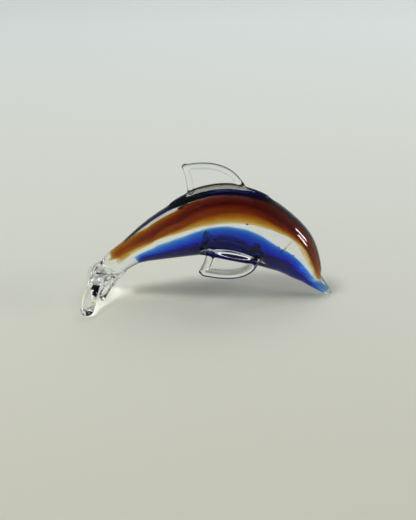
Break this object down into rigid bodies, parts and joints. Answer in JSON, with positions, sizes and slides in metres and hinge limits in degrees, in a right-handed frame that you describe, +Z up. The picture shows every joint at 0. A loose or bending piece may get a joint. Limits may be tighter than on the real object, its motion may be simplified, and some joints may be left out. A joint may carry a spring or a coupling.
{
  "type": "glass dolphin figurine",
  "caption": "Leaping dolphin in solid clear glass with amber over the back and cobalt blue under the belly, resting on beak tip and tail flukes.",
  "frame": {"origin": "on the table, under the middle of the overall length and width", "axes": "+X towards the beak, +Y towards the dolphin's own left, +Z up"},
  "size_m": [0.1402, 0.056, 0.0797],
  "materials": {
    "clear_glass": "fire-polished",
    "amber_glass": "cased under clear glass",
    "blue_glass": "cased under clear glass"
  },
  "bodies": {
    "root": {"clear_casing": "clear_glass", "clear_core": "clear_glass", "amber_overlay": "amber_glass", "blue_overlay": "blue_glass", "amber_thread": "amber_glass", "tail_bit": "clear_glass", "fluke_left": "clear_glass", "fluke_right": "clear_glass", "dorsal_fin": "clear_glass", "pectoral_fin_left": "clear_glass", "pectoral_fin_right": "clear_glass"}
  },
  "joints": []
}
